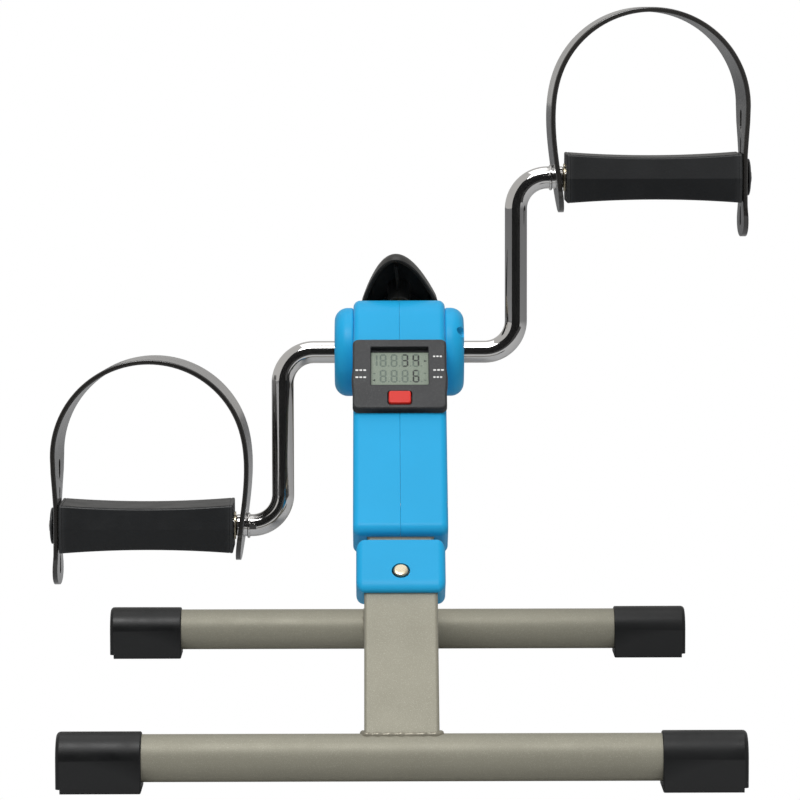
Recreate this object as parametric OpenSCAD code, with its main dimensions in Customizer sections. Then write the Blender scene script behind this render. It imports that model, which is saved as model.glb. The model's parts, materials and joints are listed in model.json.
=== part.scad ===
// Fold-up pedal exerciser: two feet, a leaning front leg that carries the head,
// a rear leg hinged at the head, and a bent crank with two strapped pedals.
// X is to the user's right, Y away from the user, Z up, and the floor is Z = 0.

/* [Feet] */
// Length of each foot over its end caps
foot_len = 366; // [320:1:420]
// Distance between the centre lines of the two feet
foot_gap = 478; // [470:1:486]
// Outside diameter of the foot tubes
foot_d = 25.4; // [22:0.1:28]
// Wall of every steel tube
tube_wall = 1.5; // [1.2:0.1:2]
// Length of a rubber end cap
cap_len = 45.2; // [35:0.1:60]

/* [Legs] */
// Width of the leg tubes
leg_w = 40; // [38:0.5:41]
// Depth of the leg tubes
leg_t = 20; // [18:0.5:22]
// Lean of the front leg from the vertical
lean = 45; // [44:0.5:46]

/* [Crank] */
// Height of the crank axis
crank_z = 215.5; // [210:0.5:218]
// Crank axis along Y
crank_y = -25; // [-28:0.5:-22]
// Radius from the crank axis to a pedal axis
throw_r = 100; // [90:0.5:105]
// Diameter of the crank rod
rod_d = 12.7; // [11:0.1:13]
// Distance from the middle plane to each crank arm
arm_x = 67; // [62:1:68]
// Centre-line radius of the rod's bends
bend_r = 18; // [15:0.5:18]

/* [Pedals] */
// Inner end of a pedal block
pedal_x0 = 95.4; // [95.4:0.1:97]
// Outer end of a pedal block
pedal_x1 = 195; // [185:1:200]
// Height of a block at its ends
pedal_h = 28; // [24:0.5:32]
// How far a block narrows in its middle, on each side
pedal_waist = 2; // [1:0.1:4]
// Depth of a block
pedal_t = 44; // [36:1:56]

/* [Straps] */
// Width of a strap
strap_w = 34; // [18:1:40]
// Thickness of a strap
strap_t = 3.8; // [3:0.1:4]
// Height of the middle of the arch above the pedal axis
arch_z = 40.5; // [35:0.5:50]
// Tail of the strap below the pedal axis, outboard
tail_out = 34; // [25:1:45]
// Tail of the strap below the pedal axis, inboard
tail_in = 20; // [16:1:25]

/* [Head] */
// Width of the housing
body_w = 52.4; // [52:0.1:54]
// Radius of the housing about the crank axis
head_r = 26.5; // [26:0.1:28]
// Height of the head's top above a circle about the crank axis
crown = 4; // [0:0.5:6]
// Radius of the housing about the rear hinge
lobe_r = 17; // [16.5:0.1:18]
// Wall of the housing shells
shell = 2.6; // [2.2:0.1:2.8]
// Radius of the side discs
disc_r = 25.3; // [24:0.1:26]
// Distance between the outer faces of the side discs
disc_w = 74; // [72:0.5:76]

/* [Tension knob] */
// Reach of the knob's point from its axis
knob_reach = 38; // [30:0.5:40]
// Depth of the knob
knob_h = 13; // [10:0.5:16]
// Height of the knob's rim above the crank axis, along the screw
knob_lift = 40; // [35:0.5:42]
// Turn of the knob at rest, in degrees
knob_turn = -4; // [-60:1:60]

/* [Hidden] */
$fn = 64;
e = 0.01;

// Places of the hinges
foot_y = foot_gap / 2;
foot_z = 17;
pivot_y = 5;
pivot_z = 195;
// The same two axes measured along and across the front leg
crank_a = along(crank_y, crank_z);
crank_b = across(crank_y, crank_z);
pivot_a = along(pivot_y, pivot_z);
pivot_b = across(pivot_y, pivot_z);
rear_len = norm([foot_y - pivot_y, pivot_z - foot_z]);
rear_tilt = -90 - atan2(pivot_z - foot_z, foot_y - pivot_y);

// Feet
cap_r = 14.2;
cap_end = 3;
ledge = 2.3;
ledge_h = 2.5;
// Column and collar, along the front leg
fit = 0.3;
column_w = leg_w - 2 * tube_wall - 2 * fit;
column_t = leg_t - 2 * tube_wall - 2 * fit;
column_a0 = 60;
column_a1 = 262;
leg_a1 = 134;
collar_w = 48.8;
collar_t = 29.6;
collar_a0 = 100;
collar_a1 = 135.6;
collar_slant = 11.7;
button_a = 113.6;
button_r = 4;
// Head
front_b = crank_b - head_r;
back_b = 16;
body_a0 = 139.7;
body_a0_back = 148.6;
web_a = 232;
plate_x0 = 20.6;
plate_t = 2.5;
slot_x = 20.5;
bush_r = 9;
drum_r = 12;
drum_w = 20;
pin_r = 4;
run = 0.05;
edge = 1.2;
rim_r = 7.5;
rod_r = rod_d / 2;
screw_places = [[-10.5, 162], [10.8, 168], [-4.6, 307.3], [24, 266]];
screw_r = 1.5;
// Display
disp_w = 53;
disp_h = 51.2;
disp_a1 = 275.2;
disp_t = 4.5;
disp_b = front_b - disp_t;
disp_a = disp_a1 - disp_h / 2;
skin = 1.6;
window_w = 33;
window_h = 28.4;
window_a = disp_a1 - 5.8 - window_h / 2;
reset_w = 12.6;
reset_h = 8.9;
reset_a = disp_a1 - 43.5;
tray_w = 44;
tray_h = 40;
tray_t = 6.2;
// Brake
shoe_gap = 1.3;
shoe_w = 16;
thread_r = 4;
rim_a = crank_a + knob_lift;
// Pedals
stub_r = 5;
step_x = 94.2;
strap_x = pedal_x1 + 0.6 + strap_t / 2;
arch_r = 54.75;
lean_in = 4.5;
boss_r = 10.5;

function along(y, z) = (y + foot_y) * sin(lean) + (z - foot_z) * cos(lean);
function across(y, z) = (y + foot_y) * cos(lean) - (z - foot_z) * sin(lean);

// Frame of the front leg: Z runs up the leg, Y runs back and down across it
module up_front_leg() translate([0, -foot_y, foot_z]) rotate([-lean, 0, 0]) children();
// Frame of the rear leg: Z runs from the hinge down to the rear foot
module down_rear_leg() translate([0, pivot_y, pivot_z]) rotate([rear_tilt, 0, 0]) children();
module on_crank() translate([0, crank_y, crank_z]) children();
// Extrudes a side outline, drawn across and along the leg, from x0 to x1
module slab(x0, x1) translate([x0, 0, 0]) rotate([90, 0, 90]) linear_extrude(x1 - x0) children();
module rod_x(x0, x1, r) translate([x0, 0, 0]) rotate([0, 90, 0]) cylinder(r = r, h = x1 - x0);
// A block centred on X, between two places across and two along the leg
module brick(w, b0, b1, a0, a1) translate([-w / 2, b0, a0]) cube([w, b1 - b0, a1 - a0]);
module round_rect(w, h, r) {
    square([w - 2 * r, h], center = true);
    square([w, h - 2 * r], center = true);
    for (sx = [-1, 1], sy = [-1, 1])
        translate([sx * (w / 2 - r), sy * (h / 2 - r)]) circle(r = r);
}
// A rounded plate lying across the leg's front, from b0 to b1 and centred at height a
module face_plate(w, h, r, a, b0, b1)
    translate([0, b1, a]) rotate([90, 0, 0]) linear_extrude(b1 - b0) round_rect(w, h, r);
module button_hole(r, b0, b1)
    translate([0, b1, button_a]) rotate([90, 0, 0]) cylinder(r = r, h = b1 - b0);
module sided(side) mirror([side < 0 ? 1 : 0, 0, 0]) children();

// ---------- feet ----------
module foot_tube() {
    half = foot_len / 2 - cap_end;
    difference() {
        rod_x(-half, half, foot_d / 2);
        rod_x(-half - 1, half + 1, foot_d / 2 - tube_wall);
    }
}
module foot_cap() {
    x0 = foot_len / 2 - cap_len;
    x1 = foot_len / 2;
    difference() {
        union() {
            rod_x(x0, x1, cap_r);
            translate([x0, -cap_r, -foot_z]) cube([cap_len, 2 * cap_r, foot_z]);
        }
        rod_x(x0 - 1, x1 - cap_end, foot_d / 2);
        translate([x1 - ledge, -cap_r - 1, -foot_z - 1])
            cube([ledge + 1, 2 * cap_r + 2, ledge_h + 1]);
    }
}
module leg_section(z0, z1, w, t) {
    difference() {
        translate([0, 0, z0]) linear_extrude(z1 - z0) round_rect(w, t, 2);
        translate([0, 0, z0 - 1]) linear_extrude(z1 - z0 + 2)
            square([w - 2 * tube_wall, t - 2 * tube_wall], center = true);
    }
}
module front_cross_tube() color("silver") translate([0, -foot_y, foot_z]) foot_tube();
module front_foot_cap(side) color([0.12, 0.13, 0.13])
    translate([0, -foot_y, foot_z]) sided(side) foot_cap();
module front_leg_tube() color([0.66, 0.65, 0.59]) up_front_leg() difference() {
    leg_section(0, leg_a1, leg_w, leg_t);
    rod_x(-leg_w, leg_w, foot_d / 2);
    button_hole(button_r + 0.4, -leg_t, 0);
}
module rear_cross_tube() color("silver") translate([0, foot_y, foot_z]) foot_tube();
module rear_foot_cap(side) color([0.12, 0.13, 0.13])
    translate([0, foot_y, foot_z]) sided(side) foot_cap();
module rear_leg_tube() color([0.66, 0.65, 0.59]) down_rear_leg() difference() {
    inner_w = leg_w - 2 * tube_wall;
    inner_t = leg_t - 2 * tube_wall;
    union() {
        rod_x(-leg_w / 2, leg_w / 2, leg_t / 2);
        brick(leg_w, -leg_t / 2, leg_t / 2, 0, rear_len);
    }
    rod_x(-inner_w / 2, inner_w / 2, inner_t / 2);
    brick(inner_w, -inner_t / 2, inner_t / 2, 0, rear_len + 1);
    rod_x(-leg_w, leg_w, pin_r + run);
    translate([0, 0, rear_len]) rod_x(-leg_w, leg_w, foot_d / 2);
}
module rear_pivot_sleeve() color("gainsboro") down_rear_leg() difference() {
    half = leg_w / 2 - tube_wall;
    rod_x(-half, half, 6.5);
    rod_x(-half - 1, half + 1, pin_r + run);
}

// ---------- column, collar and snap button ----------
module leg_collar() color([0.24, 0.72, 0.92]) up_front_leg() difference() {
    translate([0, 0, collar_a0]) linear_extrude(collar_a1 - collar_a0)
        round_rect(collar_w, collar_t, 4);
    translate([0, 0, collar_a0 - 1]) linear_extrude(leg_a1 - collar_a0 + 1)
        round_rect(leg_w, leg_t, 2);
    brick(column_w + 2 * fit, -column_t / 2 - fit, column_t / 2 + fit, collar_a0, collar_a1 + 1);
    // The lower end is cut on a slant, longest at the front
    slab(-collar_w, collar_w) polygon([[-collar_t / 2, collar_a0], [collar_t / 2 + 1, collar_a0 - 1],
        [collar_t / 2 + 1, collar_a0 + collar_slant]]);
    button_hole(button_r + 1, -collar_t, 0);
}
module column_tube() color([0.55, 0.54, 0.5]) up_front_leg() difference() {
    leg_section(column_a0, column_a1, column_w, column_t);
    button_hole(button_r + 0.4, -leg_t, 0);
}
module button_spring() color("lightgrey") up_front_leg() {
    inner = column_t / 2 - tube_wall;
    brick(12, inner - 0.8, inner, 82, 122);
    brick(12, 0.5, inner, 81.2, 82);
}
module lock_button() color([0.82, 0.78, 0.68]) up_front_leg() {
    proud = collar_t / 2 + 0.9;
    translate([0, -column_t / 2 + tube_wall + 0.2, button_a]) rotate([90, 0, 0]) {
        depth = proud - column_t / 2 + tube_wall + 0.2;
        cylinder(r = button_r, h = depth - 1.1);
        translate([0, 0, depth - 1.1]) cylinder(r = button_r - 0.4, h = 0.6);
        translate([0, 0, depth - 0.5]) cylinder(r = button_r - 1.4, h = 0.5);
        translate([0, 0, -1]) cylinder(r = button_r + 1.5, h = 1);
    }
}
module button_leaf() color("lightgrey") up_front_leg() {
    b0 = -column_t / 2 + tube_wall + 1.2;
    brick(11, b0, b0 + 0.8, 86, 121);
}

// ---------- head ----------
// Points where a straight line touches two circles, passing over them or, with side = -1, under
function touching(c0, r0, c1, r1, side) = let (
    gap = norm(c1 - c0),
    turn = atan2(c1[1] - c0[1], c1[0] - c0[0]) + side * acos((r0 - r1) / gap),
    dir = [cos(turn), sin(turn)]
) [c0 + r0 * dir, c1 + r1 * dir];
head_at = [crank_b, crank_a + crown];
pivot_at = [pivot_b, pivot_a];
// Side outline of the housing, inset by d
module body_outline(d) {
    top = touching(head_at, head_r - d, pivot_at, lobe_r - d, 1);
    web = [back_b - d, web_a + d];
    below = touching(web, 0, pivot_at, lobe_r - d, -1);
    slope = (body_a0_back - body_a0) / (back_b - front_b);
    translate(head_at) circle(r = head_r - d);
    translate(pivot_at) circle(r = lobe_r - d);
    polygon([
        [front_b + d, body_a0 + d + slope * d], [back_b - d, body_a0_back + d - slope * d],
        web, below[1],
        pivot_at, top[1], top[0], head_at, [front_b + d, head_at[1]]]);
}
// Side outline of what the rear leg sweeps through, from open to folded
module fold_outline() {
    half = leg_t / 2 + 0.6;
    reach = 60;
    open_dir = ([across(foot_y, foot_z), along(foot_y, foot_z)] - pivot_at) / rear_len;
    above = [-open_dir[1], open_dir[0]];
    translate(pivot_at) {
        circle(r = half);
        polygon([half * above, half * above + reach * open_dir, [reach, -reach],
            [-half, -reach], [-half, 0]]);
    }
}
module disc() {
    half = disc_w / 2;
    turn = [for (i = [0 : 8]) i * 90 / 8];
    rotate([0, 90, 0]) rotate_extrude() polygon(concat(
        [[0, body_w / 2 - shell], [disc_r, body_w / 2 - shell]],
        [for (t = turn) [disc_r - rim_r + rim_r * cos(t), half - rim_r + rim_r * sin(t)]],
        [[0, half]]));
}
module boss_post(place, r, x0, x1) translate([0, place[0], place[1]]) rod_x(x0, x1, r);
// The right half of the housing; the left half is its mirror
module housing_half() up_front_leg() {
    half = body_w / 2;
    difference() {
        union() {
            slab(0, half - edge) body_outline(0);
            slab(half - edge, half) body_outline(edge);
            translate([0, crank_b, crank_a]) disc();
        }
        difference() {
            slab(-1, half - shell) body_outline(shell);
            for (place = screw_places) boss_post(place, screw_r + 1.2, 0, half);
        }
        translate([0, crank_b, crank_a]) {
            rod_x(half - shell - 1, disc_w / 2 - shell, 16);
            rod_x(0, disc_w, rod_r + 1);
            cylinder(r = 8, h = head_r + crown + 5);
        }
        brick(column_w + 2 * fit, -column_t / 2 - fit, column_t / 2 + fit, body_a0 - 5, 170);
        brick(tray_w + 0.6, front_b - 1, front_b + shell + 1,
            disp_a - tray_h / 2 - 0.3, disp_a + tray_h / 2 + 0.3);
        for (place = screw_places) boss_post(place, screw_r, -1, half - shell / 2);
        slab(-slot_x, slot_x) fold_outline();
    }
}
module screw_seats() for (place = screw_places) up_front_leg()
    boss_post(place, 3, body_w / 2 - 2, body_w / 2 + (place == screw_places[2] ? 20 : 1));
module housing_right() color([0.24, 0.72, 0.92]) difference() {
    housing_half();
    screw_seats();
}
module housing_left() color([0.24, 0.72, 0.92]) mirror([1, 0, 0]) housing_half();
module housing_screws() color("dimgray") up_front_leg() for (place = screw_places) {
    boss_post(place, screw_r, -16, body_w / 2 - 2);
    boss_post(place, 2.8, body_w / 2 - 2, body_w / 2 - 0.4);
}
// One bearing plate with its arm to the rear hinge
module bracket_plate() difference() {
    slab(plate_x0, plate_x0 + plate_t) {
        hull() {
            translate([crank_b, crank_a]) circle(r = 16, $fn = 32);
            translate(pivot_at) circle(r = 13.6, $fn = 32);
        }
        translate([crank_b - 8, crank_a]) square([16, 22.4]);
        hull() {
            translate([crank_b, crank_a]) circle(r = 16, $fn = 32);
            translate([-8, web_a]) square([16, 20]);
        }
    }
    translate([0, crank_b, crank_a]) rod_x(0, 60, bush_r);
    translate([0, pivot_b, pivot_a]) rod_x(0, 60, pin_r);
}
module head_bracket() color("slategray") {
    up_front_leg() {
        for (side = [-1, 1]) sided(side) {
            bracket_plate();
            translate([column_w / 2, -7.5, web_a]) cube([plate_x0 - column_w / 2, 15, 24]);
        }
        difference() {
            brick(2 * plate_x0, crank_b - 8, crank_b + 8, crank_a + 20, crank_a + 22.4);
            translate([0, crank_b, crank_a]) cylinder(r = thread_r, h = 40);
        }
    }
    // The rear leg's stop when it is open
    down_rear_leg() brick(2 * plate_x0 + 1, -leg_t / 2 - 2.4, -leg_t / 2 - 0.2, 0, 5);
}
module rear_leg_pin() color("silver") translate([0, pivot_y, pivot_z])
    rod_x(-plate_x0 - plate_t, plate_x0 + plate_t, pin_r);
module crank_bush(side) color("ivory") on_crank() sided(side) difference() {
    union() {
        rod_x(plate_x0 - 2, plate_x0 + 6, bush_r);
        rod_x(plate_x0 - 2, plate_x0, bush_r + 2);
    }
    rod_x(0, 60, rod_r + run);
}
module tension_nut() color("silver") up_front_leg() translate([0, crank_b, crank_a + 22.4])
    difference() {
        cylinder(r = 7, h = 6, $fn = 6);
        translate([0, 0, -1]) cylinder(r = thread_r, h = 8);
    }
module reed_sensor() color("black") up_front_leg()
    translate([14.4, crank_b - 14.4, crank_a - 7]) cube([plate_x0 - 14.4, 3, 14]);
module sensor_lead() color([0.15, 0.15, 0.15]) up_front_leg() {
    lead_r = 0.8;
    x = 17;
    b = crank_b - 12.9;
    a1 = crank_a - 7;
    a0 = column_a1 + 3;
    b0 = front_b + tray_t;
    translate([x, b, a0]) cylinder(r = lead_r, h = a1 - a0, $fn = 16);
    translate([x, b, a0]) sphere(r = lead_r, $fn = 16);
    translate([x, b, a0]) rotate([90, 0, 0]) cylinder(r = lead_r, h = b - b0, $fn = 16);
}

// ---------- display ----------
module display_case() color([0.3, 0.3, 0.3]) up_front_leg() difference() {
    union() {
        face_plate(disp_w, disp_h, 3.5, disp_a, disp_b, front_b);
        face_plate(disp_w + 1.2, 20, 5, disp_a - 4, disp_b + 0.4, front_b);
    }
    face_plate(disp_w - 2 * skin, disp_h - 2 * skin, 2, disp_a, disp_b + skin, front_b + 1);
    face_plate(window_w, window_h, 0.8, window_a, disp_b - 1, front_b);
    face_plate(reset_w + 0.6, reset_h + 0.6, 1.5, reset_a, disp_b - 1, front_b);
}
module display_back() color([0.2, 0.2, 0.2]) up_front_leg() difference() {
    brick(tray_w, front_b, front_b + tray_t, disp_a - tray_h / 2, disp_a + tray_h / 2);
    brick(tray_w - 2.4, front_b - 1, front_b + tray_t - 1.2,
        disp_a - tray_h / 2 + 1.2, disp_a + tray_h / 2 - 1.2);
}
module lcd_window() color([0.75, 0.8, 0.78, 0.4]) up_front_leg()
    brick(window_w + 3, disp_b + skin, disp_b + skin + 1,
        window_a - window_h / 2 - 1.2, window_a + window_h / 2 + 1.2);
module lcd_panel() color([0.58, 0.64, 0.56]) up_front_leg()
    brick(window_w + 2, disp_b + skin + 1, front_b - 0.1,
        window_a - window_h / 2 - 1, window_a + window_h / 2 + 1);
module circuit_board() color("darkgreen") up_front_leg()
    brick(tray_w - 4, front_b + 0.6, front_b + 1.8, disp_a - 18, disp_a + 18);
module button_cell() color("silver") up_front_leg()
    translate([8, front_b + 4.9, disp_a - 8]) rotate([90, 0, 0]) cylinder(r = 5.8, h = 3.1);
module reset_button() color([0.95, 0.3, 0.24]) up_front_leg() {
    face_plate(reset_w, reset_h, 1.2, reset_a, disp_b - 1, disp_b + skin + 0.2);
    face_plate(reset_w + 2.4, reset_h + 2.4, 1.2, reset_a, disp_b + skin + 0.1, disp_b + skin + 1.1);
    translate([0, front_b - 0.7, reset_a + 3.4]) rotate([90, 0, 0]) cylinder(r = 2, h = 1.2);
}

// ---------- crank ----------
module bend(turn) rotate([90, 0, 0]) rotate([0, 0, turn])
    rotate_extrude(angle = 90) translate([bend_r, 0]) circle(r = rod_r);
// The right half of the rod, from the middle plane out to the spindle
module half_rod() {
    rod_x(0, arm_x - bend_r, rod_r);
    translate([arm_x - bend_r, 0, bend_r]) bend(-90);
    translate([arm_x, 0, bend_r]) cylinder(r = rod_r, h = throw_r - 2 * bend_r);
    translate([arm_x + bend_r, 0, throw_r - bend_r]) bend(90);
    translate([0, 0, throw_r]) {
        rod_x(arm_x + bend_r, step_x, rod_r);
        rod_x(step_x, pedal_x1 - 3.5, stub_r);
    }
}
module crank_rod() color("lightgray") on_crank() {
    half_rod();
    rotate([0, 180, 0]) half_rod();
}
// Repeats a spindle fitting on both pedal spindles
module both_spindles() on_crank() for (turn = [0, 180]) rotate([0, turn, 0])
    translate([0, 0, throw_r]) children();
module ring_x(x0, x1, r, bore) difference() {
    rod_x(x0, x1, r);
    rod_x(x0 - 1, x1 + 1, bore);
}
module brake_drum() color("dimgray") on_crank() ring_x(-drum_w / 2, drum_w / 2, drum_r, rod_r);
module magnet() color("darkgray") on_crank()
    translate([0, 0, -9]) rod_x(drum_w / 2, drum_w / 2 + 3, 2.5);
module spindle_collars() color("lightgray") both_spindles() ring_x(86, 87.6, 8.6, rod_r);
module thrust_washers() color("silver") both_spindles()
    ring_x(step_x, step_x + 0.8, 8, stub_r);
module push_nuts() color("silver") both_spindles()
    ring_x(pedal_x1 - 8, pedal_x1 - 4.8, 8, stub_r);

// ---------- pedals ----------
// Everything on a pedal is drawn for the right side, about its own axis
module on_pedal(side) on_crank() rotate([0, side < 0 ? 180 : 0, 0]) translate([0, 0, throw_r])
    mirror([0, 0, side < 0 ? 1 : 0]) children();
module pedal_block(side) color([0.14, 0.15, 0.16]) on_pedal(side) {
    long = pedal_x1 - pedal_x0;
    sweep_r = (long * long / 4 + pedal_waist * pedal_waist) / (2 * pedal_waist);
    difference() {
        intersection() {
            translate([pedal_x0, pedal_t, 0]) rotate([90, 0, 0]) linear_extrude(2 * pedal_t)
                difference() {
                    translate([0, -pedal_h / 2]) square([long, pedal_h]);
                    for (s = [-1, 1]) translate([long / 2, s * (pedal_h / 2 - pedal_waist + sweep_r)])
                        circle(r = sweep_r, $fn = 360);
                }
            slab(pedal_x0 - 1, pedal_x1 + 1) polygon([[-pedal_t / 2, 0],
                [-pedal_t / 2 + 2, pedal_h / 2], [pedal_t / 2 - 2, pedal_h / 2],
                [pedal_t / 2, 0], [pedal_t / 2 - 2, -pedal_h / 2], [-pedal_t / 2 + 2, -pedal_h / 2]]);
        }
        rod_x(0, pedal_x1 + 1, 7);
        rod_x(pedal_x1 - 8.6, pedal_x1 + 1, 9.5);
    }
}
module pedal_bushes(side) color("ivory") on_pedal(side) {
    ring_x(pedal_x0, pedal_x0 + 22, 7, stub_r + run);
    ring_x(pedal_x1 - 31, pedal_x1 - 8.6, 7, stub_r + run);
}
module pedal_boss(side) color([0.1, 0.1, 0.1]) on_pedal(side) difference() {
    union() {
        rod_x(pedal_x1 - 3, pedal_x1, 9.5);
        rod_x(pedal_x1, pedal_x1 + 4.8, 4.6);
        rod_x(pedal_x1 + 4.6, pedal_x1 + 5.8, boss_r);
        rod_x(pedal_x1 + 5.8, pedal_x1 + 6.4, boss_r - 1.5);
    }
    rod_x(pedal_x1 - 4, pedal_x1 + 8, 2);
}
module boss_rivet(side) color("silver") on_pedal(side) {
    rod_x(pedal_x1 - 3, pedal_x1 + 6.4, 2);
    rod_x(pedal_x1 + 6.4, pedal_x1 + 6.9, 3.4);
}
// Centre line of the strap, from the outer tail over the arch to the inner tail
function strap_line() = concat(
    [[strap_x, -tail_out]],
    [for (t = [0 : 6 : 180]) [strap_x - arch_r + arch_r * cos(t), arch_z + arch_r * sin(t)]],
    [[strap_x - 2 * arch_r + lean_in, -tail_in]]);
// The line moved sideways by d, along the mean normal of the two runs at each point
function shifted(line, d) = let (last = len(line) - 1) [for (i = [0 : last]) let (
    run_at = line[min(i + 1, last)] - line[max(i - 1, 0)],
    normal = [run_at[1], -run_at[0]] / norm(run_at)
) line[i] + d * normal];
function turned(line) = [for (i = [len(line) - 1 : -1 : 0]) line[i]];
module tail_round(x, z) translate([x - 8, 0, z]) difference() {
    translate([0, -strap_w, -strap_w / 2 - 5]) cube([16, 2 * strap_w, strap_w / 2 + 5]);
    rod_x(-1, 17, strap_w / 2);
}
module slot_x(z, x, r, long) translate([x - 8, 0, z]) {
    for (s = [-1, 1]) translate([0, 0, s * long / 2]) rod_x(0, 16, r);
    translate([0, -r, -long / 2]) cube([16, 2 * r, long]);
}
module foot_strap(side) color([0.2, 0.2, 0.2]) on_pedal(side) difference() {
    line = strap_line();
    translate([0, strap_w / 2, 0]) rotate([90, 0, 0]) linear_extrude(strap_w)
        polygon(concat(shifted(line, strap_t / 2), turned(shifted(line, -strap_t / 2))));
    tail_round(strap_x, -tail_out + strap_w / 2);
    tail_round(strap_x - 2 * arch_r + lean_in, -tail_in + strap_w / 2);
    rod_x(0, 100, rod_r + 0.6);
    translate([strap_x - 8, 0, 0]) rod_x(0, 16, 5);
    for (z = [-22, 17, 33]) slot_x(z, strap_x, 2.6, 6);
}

// ---------- brake and tension knob ----------
module brake_shoe() color("gainsboro") up_front_leg() translate([0, crank_b, crank_a + shoe_gap])
    difference() {
        translate([-shoe_w / 2, -9, 6]) cube([shoe_w, 18, 10]);
        rod_x(-shoe_w, shoe_w, drum_r + 2.3);
        translate([0, 0, 14.5]) cylinder(r = 3 + run, h = 5);
    }
module brake_pad() color("saddlebrown") up_front_leg() translate([0, crank_b, crank_a + shoe_gap])
    intersection() {
        translate([-shoe_w / 2, -9, 6]) cube([shoe_w, 18, 10]);
        ring_x(-shoe_w, shoe_w, drum_r + 2.3, drum_r + 0.3);
    }
// Circles whose hull is the knob's outline, its point towards the user: [x, across, radius]
knob_circles = [[0, 7.5 - knob_reach, 7.5], [0, -14, 14.6], [-11, 9, 12], [11, 9, 12]];
module knob_blank(inset, taper, h) hull() for (c = knob_circles) translate([c[0], c[1], 0])
    cylinder(r1 = c[2] - inset, r2 = c[2] - inset - taper, h = h, $fn = 32);
module tension_knob() color([0.12, 0.12, 0.12]) up_front_leg() translate([0, crank_b, rim_a])
    rotate([0, 0, knob_turn]) difference() {
        union() {
            difference() {
                knob_blank(0, 3, knob_h);
                translate([0, 0, -e]) knob_blank(2.4, 2.2, knob_h - 2.5);
            }
            translate([0, 0, -4]) cylinder(r = 6.5, h = knob_h + 2);
        }
        translate([0, 0, -5]) cylinder(r = thread_r - run, h = knob_h + 2);
    }
module tension_screw() color("silver") up_front_leg() translate([0, crank_b, crank_a]) {
    translate([0, 0, shoe_gap + 14.5]) cylinder(r = 3, h = 2);
    translate([0, 0, shoe_gap + 16.5]) cylinder(r = thread_r - run, h = knob_lift + 10 - 3 - 14.8);
}

// Left is the user's left, on the -X side
front_cross_tube();
front_foot_cap(-1);  // front_foot_cap_left
front_foot_cap(1);  // front_foot_cap_right
front_leg_tube();
leg_collar();
column_tube();
button_spring();
head_bracket();
rear_leg_pin();
crank_bush(-1);  // crank_bush_left
crank_bush(1);  // crank_bush_right
tension_nut();
housing_left();
housing_right();
housing_screws();
display_case();
display_back();
lcd_window();
lcd_panel();
circuit_board();
button_cell();
reed_sensor();
sensor_lead();
rear_leg_tube();
rear_cross_tube();
rear_foot_cap(-1);  // rear_foot_cap_left
rear_foot_cap(1);  // rear_foot_cap_right
rear_pivot_sleeve();
crank_rod();
brake_drum();
magnet();
spindle_collars();
thrust_washers();
push_nuts();
pedal_block(-1);  // pedal_block_left
pedal_bushes(-1);  // pedal_bushes_left
pedal_boss(-1);  // pedal_boss_left
boss_rivet(-1);  // boss_rivet_left
foot_strap(-1);  // foot_strap_left
pedal_block(1);  // pedal_block_right
pedal_bushes(1);  // pedal_bushes_right
pedal_boss(1);  // pedal_boss_right
boss_rivet(1);  // boss_rivet_right
foot_strap(1);  // foot_strap_right
brake_shoe();
brake_pad();
tension_knob();
tension_screw();
lock_button();
button_leaf();
reset_button();
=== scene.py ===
# The looks of a fold-up pedal exerciser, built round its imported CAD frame.
# Lengths are in metres. Leg-frame points are (x, across, along) from the front foot's centre.
import json
import math

import bmesh
import bpy
from mathutils import Matrix, Vector, noise


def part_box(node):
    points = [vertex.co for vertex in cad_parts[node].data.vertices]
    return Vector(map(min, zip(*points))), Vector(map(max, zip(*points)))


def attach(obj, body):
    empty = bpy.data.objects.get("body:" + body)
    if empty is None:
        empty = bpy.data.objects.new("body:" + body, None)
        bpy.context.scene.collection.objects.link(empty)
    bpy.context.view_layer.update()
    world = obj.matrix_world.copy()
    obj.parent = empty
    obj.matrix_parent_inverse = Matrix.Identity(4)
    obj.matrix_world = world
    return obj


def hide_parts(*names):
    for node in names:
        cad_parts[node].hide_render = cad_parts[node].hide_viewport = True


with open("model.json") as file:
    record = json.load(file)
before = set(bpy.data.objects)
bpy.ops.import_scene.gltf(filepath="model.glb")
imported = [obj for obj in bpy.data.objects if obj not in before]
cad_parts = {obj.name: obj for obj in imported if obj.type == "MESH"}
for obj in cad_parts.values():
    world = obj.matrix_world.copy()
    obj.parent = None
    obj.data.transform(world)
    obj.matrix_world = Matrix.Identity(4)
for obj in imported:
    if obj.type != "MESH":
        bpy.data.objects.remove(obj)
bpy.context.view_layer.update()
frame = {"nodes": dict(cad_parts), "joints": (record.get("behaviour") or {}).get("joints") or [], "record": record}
NODES = frame["nodes"]
JOINTS = {j["name"]: j for j in frame["joints"]}
SLOTS = {s["node"]: s["material_slot"] for s in frame["record"]["subparts"]}
MM = 0.001
LEAN = math.radians(45)


def middle(node):
    low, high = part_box(node)
    return (low + high) / 2


CRANK = Vector(JOINTS["crank_spin"]["pos_m"])
PIVOT = Vector(JOINTS["rear_leg_fold"]["pos_m"])
FRONT = middle("front_cross_tube")
REAR = middle("rear_cross_tube")
LEG = Matrix.Translation(FRONT) @ Matrix.Rotation(-LEAN, 4, "X")
REAR_RUN = REAR - PIVOT
REAR_TILT = -math.pi / 2 - math.atan2(-REAR_RUN.z, REAR_RUN.y)
REAR_LEG = Matrix.Translation(PIVOT) @ Matrix.Rotation(REAR_TILT, 4, "X")
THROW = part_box("crank_rod")[1].z - CRANK.z - 6.35 * MM
CRANK_L = LEG.inverted() @ CRANK
PIVOT_L = LEG.inverted() @ PIVOT


def local_box(node, place):
    """A CAD node's lowest and highest corners in the frame of a matrix."""
    back = place.inverted()
    points = [back @ v.co for v in NODES[node].data.vertices]
    low = Vector([min(p[i] for p in points) for i in range(3)])
    high = Vector([max(p[i] for p in points) for i in range(3)])
    return low, high


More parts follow.
